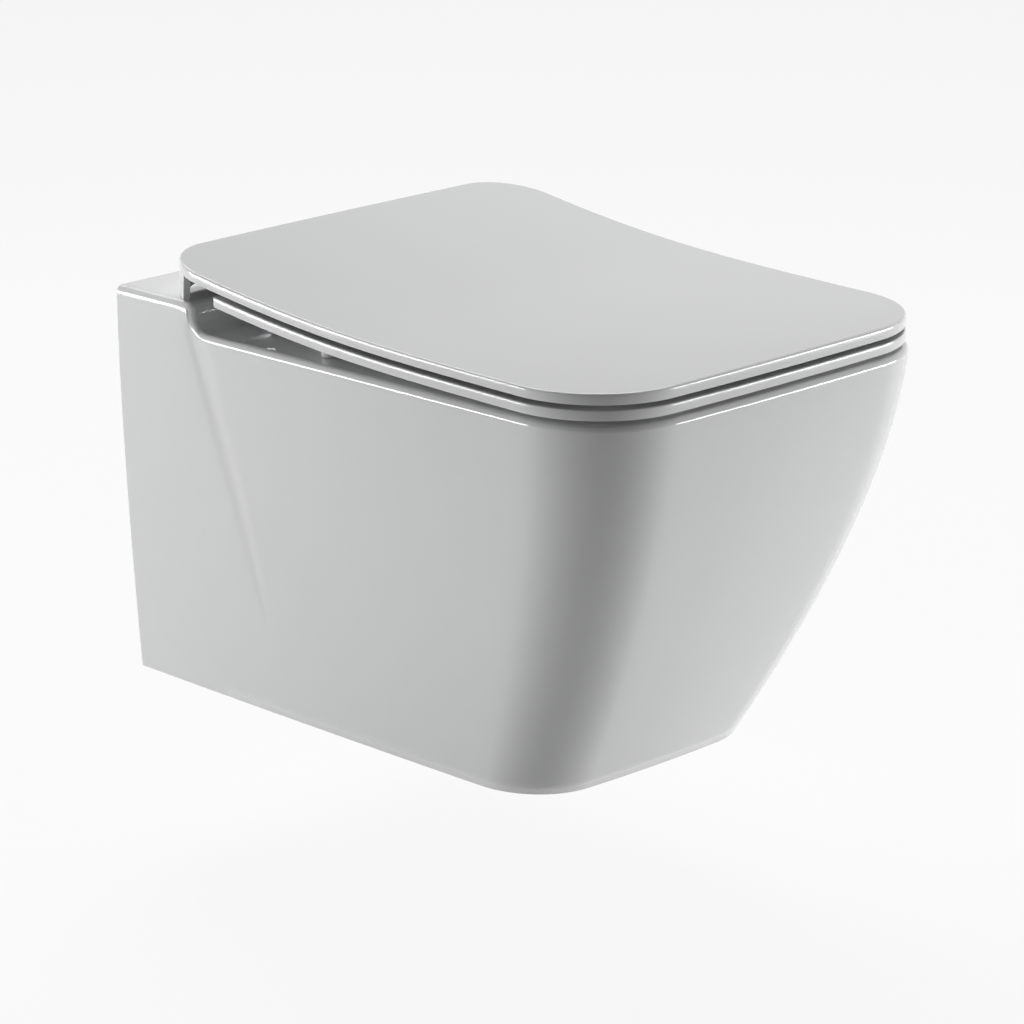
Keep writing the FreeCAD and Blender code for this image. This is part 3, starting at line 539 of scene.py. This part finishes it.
def make_seat():
    """Seat ring with a rounded inner edge, lofted between its outline and its opening."""
    outline, normals = seat_outline()
    middle = -(HOLE_REAR + HOLE_FRONT) / 2
    opening = np.array([opening_point(math.atan2(p[1] - middle, p[0])) for p in outline])
    widths = np.linalg.norm(opening - outline, axis=1)[:, None]
    drop = LID_EDGE + SEAT_GAP
    rings = []

    def ring(places, lower):
        rings.append([(x, y, float(lid_top(y)) - drop - lower) for x, y in places])

    def outer(inset):
        return outline - normals * inset

    def inner(inset):
        return opening + (outline - opening) * inset / widths

    for angle in turns(5)[::-1]:
        ring(outer(SEAT_ROUND * (1 - math.sin(angle))), SEAT_ROUND * (1 - math.cos(angle)))
    for share in (0.12, 0.3, 0.5, 0.7, 0.86):
        ring(outline + (opening - outline) * share, 0.0)
    for angle in turns(8):
        ring(inner(SEAT_HOLE_ROUND * (1 - math.sin(angle))), SEAT_HOLE_ROUND * (1 - math.cos(angle)))
    for angle in turns(8)[1:]:
        ring(inner(SEAT_HOLE_ROUND * (1 - math.cos(angle))),
             SEAT_THICK - SEAT_HOLE_ROUND + SEAT_HOLE_ROUND * math.sin(angle))
    for share in (0.8, 0.5, 0.2):
        ring(outline + (opening - outline) * share, SEAT_THICK)
    for angle in turns(5):
        ring(outer(SEAT_ROUND * (1 - math.sin(angle))), SEAT_THICK - SEAT_ROUND * (1 - math.cos(angle)))
    rings.append(rings[0])
    vertices = [(x, y, z + RIM_Z) for row in rings for x, y, z in row]
    seat = build_mesh("seat_gloss", vertices, grid_faces(len(rings), len(outline), 0, True))
    smooth(seat, 50)
    return seat


# ---- materials ----------------------------------------------------------------------------------
def add_node(tree, kind, **values):
    """A node with its inputs set, or linked where the value is another node's socket."""
    node = tree.nodes.new(kind)
    for name, value in values.items():
        set_or_link(tree, node.inputs[name.replace("_", " ")], value)
    return node


def set_or_link(tree, socket, value):
    """Gives a socket a value, or links it where the value is another socket."""
    if isinstance(value, bpy.types.NodeSocket):
        tree.links.new(value, socket)
    else:
        socket.default_value = value


def tint(tree, share, low, dark, pale):
    """Socket of a colour between dark and pale, by a share whose middle band counts."""
    ramp = add_node(tree, "ShaderNodeValToRGB", Fac=share)
    ramp.color_ramp.elements[0].position = low
    ramp.color_ramp.elements[1].position = 1 - low
    ramp.color_ramp.elements[0].color = (*dark, 1)
    ramp.color_ramp.elements[1].color = (*pale, 1)
    return ramp.outputs["Color"]


def surface(tree, share, colour, roughness, bump):
    """Links colour, roughness range and bump (height, strength, distance) to the tree's shader."""
    shader = tree.nodes["Principled BSDF"]
    shade = add_node(tree, "ShaderNodeMapRange", Value=share, To_Min=roughness[0], To_Max=roughness[1])
    relief = add_node(tree, "ShaderNodeBump", Height=bump[0], Strength=bump[1], Distance=bump[2])
    tree.links.new(colour, shader.inputs["Base Color"])
    tree.links.new(shade.outputs["Result"], shader.inputs["Roughness"])
    tree.links.new(relief.outputs["Normal"], shader.inputs["Normal"])
    return shader


def gloss_material(name, colour, roughness, wave, wave_size, coat):
    """White gloss finish: a faint cloud in the colour, and a low wave in the surface."""
    material = bpy.data.materials.new(name)
    material.use_nodes = True
    tree = material.node_tree
    place = tree.nodes.new("ShaderNodeTexCoord").outputs["Object"]
    cloud = add_node(tree, "ShaderNodeTexNoise", Vector=place, Scale=9.0, Detail=3.0).outputs["Fac"]
    swell = add_node(tree, "ShaderNodeTexNoise", Vector=place, Scale=wave_size, Detail=2.0).outputs["Fac"]
    dark = (colour[0] * 0.985, colour[1] * 0.985, colour[2] * 0.98)
    shader = surface(tree, cloud, tint(tree, cloud, 0.3, dark, colour), (roughness * 0.8, roughness * 1.2),
                     (swell, wave, 0.0004))
    shader.inputs["Coat Weight"].default_value = coat
    shader.inputs["Coat Roughness"].default_value = 0.03
    return material


def grained_material(name, colour, roughness, metal, grain, size):
    """Moulded, rolled or rubber finish: colour and roughness vary with a fine grain."""
    material = bpy.data.materials.new(name)
    material.use_nodes = True
    tree = material.node_tree
    place = tree.nodes.new("ShaderNodeTexCoord").outputs["Object"]
    noise = add_node(tree, "ShaderNodeTexNoise", Vector=place, Scale=size, Detail=6.0).outputs["Fac"]
    shader = surface(tree, noise, tint(tree, noise, 0.35, [c * 0.86 for c in colour], colour),
                     (roughness * 0.85, min(roughness * 1.2, 1.0)), (noise, grain, 0.0002))
    shader.inputs["Metallic"].default_value = metal
    return material


def dress(thing, material):
    """Gives an object one material."""
    thing.data.materials.clear()
    thing.data.materials.append(material)


# ---- fasteners ----------------------------------------------------------------------------------
# Inputs of the fastener's node tree, as the bracket screws have them.
FASTENER_SIZES = {"Head base radius": 3.8, "Head top radius": 3.8, "Head height": 2.4,
                  "Shank radius": 2.0, "Shank length": 7.7, "Thread pitch": 1.0, "Thread depth": 0.3,
                  "Recess radius": 2.2, "Recess depth": 1.3, "Turned over": 0.0}
BRACKET_SCREW = {"Turned over": 1.0}
HINGE_STUD = {"Head base radius": 4.0, "Head top radius": 6.0, "Head height": 2.5, "Shank radius": 4.0,
              "Thread pitch": 1.25, "Thread depth": 0.5, "Recess radius": 3.0, "Recess depth": 1.8}
CLAMP_SCREW = {"Head base radius": 6.5, "Head top radius": 6.5, "Head height": 7.0, "Shank radius": 4.0,
               "Thread pitch": 1.25, "Thread depth": 0.5, "Recess radius": 3.0, "Recess depth": 4.0}


def reckon(tree, operation, first, second):
    """Socket of a sum worked out in the tree."""
    node = tree.nodes.new("ShaderNodeMath")
    node.operation = operation
    for socket, value in zip(node.inputs, (first, second)):
        set_or_link(tree, socket, value)
    return node.outputs[0]


def raised(tree, shape, height):
    """The shape moved along Z."""
    lift = tree.nodes.new("ShaderNodeCombineXYZ")
    tree.links.new(height, lift.inputs["Z"])
    return add_node(tree, "GeometryNodeTransform", Geometry=shape, Translation=lift.outputs[0]).outputs[0]


def fastener_tree():
    """Screw with a helical thread below its head and a cross or six-sided recess, one on each point."""
    tree = bpy.data.node_groups.new("threaded_fastener", "GeometryNodeTree")
    tree.interface.new_socket("Geometry", in_out="OUTPUT", socket_type="NodeSocketGeometry")
    tree.interface.new_socket("Places", in_out="INPUT", socket_type="NodeSocketGeometry")
    for name, value in FASTENER_SIZES.items():
        tree.interface.new_socket(name, in_out="INPUT", socket_type="NodeSocketFloat").default_value = value
    tree.interface.new_socket("Six-sided recess", in_out="INPUT", socket_type="NodeSocketBool")
    tree.interface.new_socket("Finish", in_out="INPUT", socket_type="NodeSocketMaterial")
    given = tree.nodes.new("NodeGroupInput").outputs
    length, radius, pitch = given["Shank length"], given["Shank radius"], given["Thread pitch"]
    core = reckon(tree, "SUBTRACT", radius, given["Thread depth"])
    bite = reckon(tree, "MULTIPLY", core, 0.97)
    shank = add_node(tree, "GeometryNodeMeshCylinder", Vertices=24, Radius=core, Depth=length)
    shank = raised(tree, shank.outputs["Mesh"], reckon(tree, "MULTIPLY", length, -0.5))
    rounds = reckon(tree, "DIVIDE", reckon(tree, "SUBTRACT", length, pitch), pitch)
    helix = add_node(tree, "GeometryNodeCurveSpiral", Resolution=20, Rotations=rounds, Start_Radius=bite,
                     End_Radius=bite, Height=reckon(tree, "MULTIPLY", rounds, pitch))
    ridge = add_node(tree, "GeometryNodeCurvePrimitiveCircle", Resolution=4,
                     Radius=reckon(tree, "SUBTRACT", radius, bite))
    thread = add_node(tree, "GeometryNodeCurveToMesh", Curve=helix.outputs[0], Profile_Curve=ridge.outputs[0],
                      Fill_Caps=True)
    rise = reckon(tree, "SUBTRACT", reckon(tree, "MULTIPLY", pitch, 0.4), length)
    thread = raised(tree, thread.outputs[0], rise)
    head = add_node(tree, "GeometryNodeMeshCone", Vertices=36, Radius_Bottom=given["Head base radius"],
                    Radius_Top=given["Head top radius"], Depth=given["Head height"])
    width = reckon(tree, "MULTIPLY", given["Recess radius"], 2.0)
    narrow = reckon(tree, "MULTIPLY", given["Recess radius"], 0.42)
    deep = reckon(tree, "MULTIPLY", given["Recess depth"], 2.0)
    key = add_node(tree, "GeometryNodeMeshCylinder", Vertices=6, Radius=given["Recess radius"], Depth=deep)
    cut = tree.nodes.new("GeometryNodeMeshBoolean")
    cut.operation = "DIFFERENCE"
    tree.links.new(head.outputs["Mesh"], cut.inputs[0])
    for x, y, other in ((width, narrow, key.outputs["Mesh"]), (narrow, width, None)):
        size = tree.nodes.new("ShaderNodeCombineXYZ")
        for socket, value in zip(size.inputs, (x, y, deep)):
            tree.links.new(value, socket)
        slot = add_node(tree, "GeometryNodeMeshCube", Size=size.outputs[0])
        choice = tree.nodes.new("GeometryNodeSwitch")
        choice.input_type = "GEOMETRY"
        tree.links.new(given["Six-sided recess"], choice.inputs["Switch"])
        tree.links.new(slot.outputs["Mesh"], choice.inputs["False"])
        if other:
            tree.links.new(other, choice.inputs["True"])
        tree.links.new(raised(tree, choice.outputs[0], given["Head height"]), cut.inputs[1])
    whole = tree.nodes.new("GeometryNodeJoinGeometry")
    for shape in (shank, thread, cut.outputs[0]):
        tree.links.new(shape, whole.inputs[0])
    turn = tree.nodes.new("ShaderNodeCombineXYZ")
    tree.links.new(reckon(tree, "MULTIPLY", given["Turned over"], math.pi), turn.inputs["X"])
    spots = add_node(tree, "GeometryNodeMeshToPoints", Mesh=given["Places"])
    copies = add_node(tree, "GeometryNodeInstanceOnPoints", Points=spots.outputs[0],
                      Instance=whole.outputs[0], Rotation=turn.outputs[0])
    solid = add_node(tree, "GeometryNodeRealizeInstances", Geometry=copies.outputs[0])
    finish = add_node(tree, "GeometryNodeSetMaterial", Geometry=solid.outputs[0], Material=given["Finish"])
    tree.links.new(finish.outputs[0], tree.nodes.new("NodeGroupOutput").inputs[0])
    return tree


def island_boxes(node):
    """Lowest and highest corner of each separate solid of a CAD node."""
    bm = bmesh.new()
    bm.from_mesh(NODES[node].data)
    bmesh.ops.remove_doubles(bm, verts=bm.verts, dist=WELD)
    boxes, seen = [], set()
    for first in bm.verts:
        if first in seen:
            continue
        seen.add(first)
        island, ahead = [], [first]
        while ahead:
            vert = ahead.pop()
            island.append(vert.co.copy())
            for edge in vert.link_edges:
                other = edge.other_vert(vert)
                if other not in seen:
                    seen.add(other)
                    ahead.append(other)
        boxes.append([[pick(co[i] for co in island) for i in range(3)] for pick in (min, max)])
    bm.free()
    return boxes


def make_fasteners(tree, node, name, body, finish, sizes, six_sided=False):
    """Dresses one CAD node of screws with threaded ones, at the places and lengths of its solids."""
    sizes = dict(FASTENER_SIZES, **sizes)
    head = sizes["Head height"] * MM
    upward = sizes["Turned over"] > 0
    places = []
    for low, high in island_boxes(node):
        z = low[2] + head if upward else high[2] - head
        places.append(((low[0] + high[0]) / 2, (low[1] + high[1]) / 2, z))
        sizes["Shank length"] = (high[2] - low[2] - head) / MM
    mesh = bpy.data.meshes.new(name + "_places")
    mesh.from_pydata(places, [], [])
    holder = bpy.data.objects.new(name + "_places", mesh)
    bpy.context.scene.collection.objects.link(holder)
    step = holder.modifiers.new("fastener", "NODES")
    step.node_group = tree
    for socket in tree.interface.items_tree:
        if socket.in_out == "INPUT" and socket.name in sizes:
            step[socket.identifier] = sizes[socket.name] * (1.0 if socket.name == "Turned over" else MM)
        elif socket.in_out == "INPUT" and socket.name == "Six-sided recess":
            step[socket.identifier] = six_sided
        elif socket.in_out == "INPUT" and socket.name == "Finish":
            step[socket.identifier] = finish
    bpy.context.view_layer.update()
    shaped = holder.evaluated_get(bpy.context.evaluated_depsgraph_get())
    made = bpy.data.meshes.new_from_object(shaped)
    made.name = name
    bpy.data.objects.remove(holder)
    thing = bpy.data.objects.new(name, made)
    bpy.context.scene.collection.objects.link(thing)
    smooth(thing, 30)
    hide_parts(node)
    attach(thing, body)


# ---- settings -----------------------------------------------------------------------------------
class ToiletFinishSettings(bpy.types.PropertyGroup):
    ceramic_colour: bpy.props.FloatVectorProperty(
        name="Ceramic", description="Colour of the glaze", subtype="COLOR", size=3, min=0, max=1,
        default=(0.78, 0.785, 0.79))
    seat_colour: bpy.props.FloatVectorProperty(
        name="Seat and lid", description="Colour of the seat and the lid", subtype="COLOR", size=3,
        min=0, max=1, default=(0.8, 0.805, 0.81))
    glaze_roughness: bpy.props.FloatProperty(
        name="Glaze roughness", description="How dull the glaze is", min=0, max=1, default=0.07,
        subtype="FACTOR")
    seat_roughness: bpy.props.FloatProperty(
        name="Seat roughness", description="How dull the seat and lid are", min=0, max=1,
        default=0.13, subtype="FACTOR")


class ToiletStageSettings(bpy.types.PropertyGroup):
    floor_drop: bpy.props.FloatProperty(
        name="Floor", description="Height of the floor below the wall bolts", default=0.325,
        unit="LENGTH")
    light: bpy.props.FloatProperty(
        name="Light", description="Strength of the soft lights", default=1.0, min=0)
    focal: bpy.props.FloatProperty(
        name="Lens", description="Focal length of the camera on a 36 mm wide frame, in millimetres",
        default=164.977, min=10)


# ---- operators ----------------------------------------------------------------------------------
class BuildPan(bpy.types.Operator):
    """Makes the glazed ceramic pan with its rimless basin, deck and rounded rim"""
    bl_idname = "toilet.build_pan"
    bl_label = "Ceramic pan"

    def execute(self, context):
        finish = context.scene.toilet_finish
        pan = make_pan()
        dress(pan, gloss_material("white_glaze", finish.ceramic_colour, finish.glaze_roughness,
                                  0.25, 26.0, 0.6))
        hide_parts("pan")
        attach(pan, "pan")
        return {"FINISHED"}


class BuildSeat(bpy.types.Operator):
    """Makes the slim seat ring"""
    bl_idname = "toilet.build_seat"
    bl_label = "Seat ring"

    def execute(self, context):
        finish = context.scene.toilet_finish
        seat = make_seat()
        dress(seat, gloss_material("white_seat_gloss", finish.seat_colour, finish.seat_roughness,
                                   0.12, 30.0, 0.3))
        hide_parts("seat_ring")
        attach(seat, "seat")
        return {"FINISHED"}


class BuildLid(bpy.types.Operator):
    """Makes the slim lid with its back skirt"""
    bl_idname = "toilet.build_lid"
    bl_label = "Lid"

    def execute(self, context):
        finish = context.scene.toilet_finish
        lid = make_lid()
        dress(lid, gloss_material("white_lid_gloss", finish.seat_colour, finish.seat_roughness,
                                  0.12, 30.0, 0.3))
        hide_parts("lid_shell")
        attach(lid, "lid")
        return {"FINISHED"}


class DressHardware(bpy.types.Operator):
    """Gives the hinge parts, buffers, seals and wall fixing their finishes"""
    bl_idname = "toilet.dress_hardware"
    bl_label = "Hinges, buffers and fixing"

    def execute(self, context):
        finishes = {
            "zinc_steel": grained_material("zinc_steel", (0.52, 0.53, 0.55), 0.35, 1.0, 0.2, 240.0),
            "chrome": grained_material("hinge_chrome", (0.72, 0.73, 0.75), 0.12, 1.0, 0.05, 160.0),
            "white_moulding": grained_material("white_moulding", (0.7, 0.7, 0.69), 0.45, 0.0, 0.3, 320.0),
            "grey_nylon": grained_material("grey_nylon", (0.12, 0.125, 0.13), 0.5, 0.0, 0.3, 300.0),
            "black_rubber": grained_material("black_rubber", (0.03, 0.03, 0.032), 0.75, 0.0, 0.5, 420.0),
            "pale_rubber": grained_material("pale_rubber", (0.6, 0.6, 0.59), 0.65, 0.0, 0.4, 420.0),
        }
        slots = {"fixing_steel": "zinc_steel", "hinge_metal": "chrome", "hinge_plastic": "white_moulding",
                 "fixing_plastic": "grey_nylon", "rubber": "black_rubber", "rubber_pale": "pale_rubber"}
        for part in frame["record"]["subparts"]:
            slot = part["material_slot"]
            if slot in slots:
                dress(NODES[part["node"]], finishes[slots[slot]])
        return {"FINISHED"}


class BuildFasteners(bpy.types.Operator):
    """Makes the threaded screws of the brackets, the hinge posts and the wall fixing"""
    bl_idname = "toilet.build_fasteners"
    bl_label = "Screws and studs"

    def execute(self, context):
        steel = grained_material("bright_zinc", (0.56, 0.57, 0.59), 0.3, 1.0, 0.15, 300.0)
        tree = fastener_tree()
        make_fasteners(tree, "seat_bracket_screws", "seat_screws_threaded", "seat", steel, BRACKET_SCREW)
        make_fasteners(tree, "lid_bracket_screws", "lid_screws_threaded", "lid", steel, BRACKET_SCREW)
        make_fasteners(tree, "hinge_studs", "hinge_studs_threaded", "pan", steel, HINGE_STUD)
        make_fasteners(tree, "fixing_clamp_screws", "fixing_screws_threaded", "pan", steel, CLAMP_SCREW, True)
        return {"FINISHED"}


class BuildStage(bpy.types.Operator):
    """Sets the floor, the soft lights, the background and the camera"""
    bl_idname = "toilet.build_stage"
    bl_label = "Stage"

    def execute(self, context):
        stage = context.scene.toilet_stage
        make_floor(stage.floor_drop)
        make_world()
        make_lights(stage.light)
        make_camera(stage.focal)
        return {"FINISHED"}


def seen_directly(tree):
    """Socket that is 1 for the camera's rays and for mirror and see-through rays, and 0 for soft light."""
    path = tree.nodes.new("ShaderNodeLightPath")
    total = path.outputs["Is Camera Ray"]
    for name in ("Is Glossy Ray", "Is Transmission Ray"):
        add = tree.nodes.new("ShaderNodeMath")
        add.operation = "ADD"
        add.use_clamp = True
        tree.links.new(total, add.inputs[0])
        tree.links.new(path.outputs[name], add.inputs[1])
        total = add.outputs[0]
    return total


def make_floor(drop):
    """Pale floor that looks white to the camera and keeps a soft shadow."""
    mesh = bpy.data.meshes.new("floor")
    corners = ((-FLOOR_REACH, -FLOOR_REACH), (FLOOR_REACH, -FLOOR_REACH), (FLOOR_REACH, FLOOR_REACH),
               (-FLOOR_REACH, FLOOR_REACH))
    mesh.from_pydata([(x, y, -drop) for x, y in corners], [], [(0, 1, 2, 3)])
    floor = bpy.data.objects.new("floor", mesh)
    bpy.context.scene.collection.objects.link(floor)
    material = bpy.data.materials.new("pale_floor")
    material.use_nodes = True
    tree = material.node_tree
    shader = tree.nodes["Principled BSDF"]
    shader.inputs["Base Color"].default_value = (FLOOR_TONE, FLOOR_TONE, FLOOR_TONE, 1)
    shader.inputs["Roughness"].default_value = 0.9
    glow = tree.nodes.new("ShaderNodeEmission")
    share = reckon(tree, "MULTIPLY", seen_directly(tree), FLOOR_GLOW)
    mix = add_node(tree, "ShaderNodeMixShader", Fac=share)
    tree.links.new(shader.outputs[0], mix.inputs[1])
    tree.links.new(glow.outputs[0], mix.inputs[2])
    tree.links.new(mix.outputs[0], tree.nodes["Material Output"].inputs["Surface"])
    dress(floor, material)


def make_world():
    """White background where it is seen, and a faint sky for soft light."""
    world = bpy.data.worlds.new("studio")
    bpy.context.scene.world = world
    world.use_nodes = True
    tree = world.node_tree
    light = tree.nodes["Background"]
    light.inputs["Color"].default_value = (1, 1, 1, 1)
    light.inputs["Strength"].default_value = SOFT_SKY
    white = add_node(tree, "ShaderNodeBackground", Color=(1, 1, 1, 1), Strength=1.0)
    mix = add_node(tree, "ShaderNodeMixShader", Fac=seen_directly(tree))
    tree.links.new(light.outputs[0], mix.inputs[1])
    tree.links.new(white.outputs[0], mix.inputs[2])
    tree.links.new(mix.outputs[0], tree.nodes["World Output"].inputs["Surface"])


def soft_light(name, place, target, width, height, power):
    """Rectangular light at a place, turned to its target."""
    data = bpy.data.lights.new(name, "AREA")
    data.shape = "RECTANGLE"
    data.size = width
    data.size_y = height
    data.energy = power
    lamp = bpy.data.objects.new(name, data)
    bpy.context.scene.collection.objects.link(lamp)
    lamp.location = place
    lamp.rotation_euler = (Vector(target) - Vector(place)).to_track_quat("-Z", "Y").to_euler()


def make_lights(strength):
    """The lights of LIGHTS, each at its power times strength."""
    for name, (place, target, width, height, power) in LIGHTS.items():
        soft_light(name, place, target, width, height, power * strength)


def make_camera(lens):
    """Camera fitted to the reference view, with a lens in millimetres."""
    data = bpy.data.cameras.new("camera")
    data.lens = lens
    data.sensor_width = 36.0
    data.sensor_fit = "HORIZONTAL"
    data.clip_end = 50
    camera = bpy.data.objects.new("camera", data)
    bpy.context.scene.collection.objects.link(camera)
    azimuth, elevation = math.radians(CAMERA_AZIMUTH), math.radians(CAMERA_ELEVATION)
    back = Vector((math.sin(azimuth) * math.cos(elevation), -math.cos(azimuth) * math.cos(elevation),
                   math.sin(elevation)))
    right = Vector((math.cos(azimuth), math.sin(azimuth), 0))
    rise = back.cross(right)
    turn = Matrix((right, rise, back)).transposed().to_4x4()
    turn.translation = Vector(CAMERA_PLACE)
    camera.matrix_world = turn
    bpy.context.scene.camera = camera


class ToiletPanel(bpy.types.Panel):
    """Lists the toilet's pieces and their settings"""
    bl_label = "Wall hung toilet"
    bl_idname = "VIEW3D_PT_toilet"
    bl_space_type = "VIEW_3D"
    bl_region_type = "UI"
    bl_category = "Toilet"

    def draw(self, context):
        layout = self.layout
        for settings in (context.scene.toilet_finish, context.scene.toilet_stage):
            for name in settings.__annotations__:
                layout.prop(settings, name)
        for step in STEPS:
            layout.operator(step.bl_idname)


STEPS = (BuildPan, BuildSeat, BuildLid, DressHardware, BuildFasteners, BuildStage)
CLASSES = (ToiletFinishSettings, ToiletStageSettings, *STEPS, ToiletPanel)


def register():
    for cls in CLASSES:
        bpy.utils.register_class(cls)
    bpy.types.Scene.toilet_finish = bpy.props.PointerProperty(type=ToiletFinishSettings)
    bpy.types.Scene.toilet_stage = bpy.props.PointerProperty(type=ToiletStageSettings)


def unregister():
    del bpy.types.Scene.toilet_finish
    del bpy.types.Scene.toilet_stage
    for cls in reversed(CLASSES):
        bpy.utils.unregister_class(cls)


def main():
    register()
    bpy.context.scene.view_settings.view_transform = "Standard"
    bpy.ops.toilet.build_pan()
    bpy.ops.toilet.build_seat()
    bpy.ops.toilet.build_lid()
    bpy.ops.toilet.dress_hardware()
    bpy.ops.toilet.build_fasteners()
    bpy.ops.toilet.build_stage()
    bpy.context.view_layer.update()


if __name__ == "__main__":
    main()
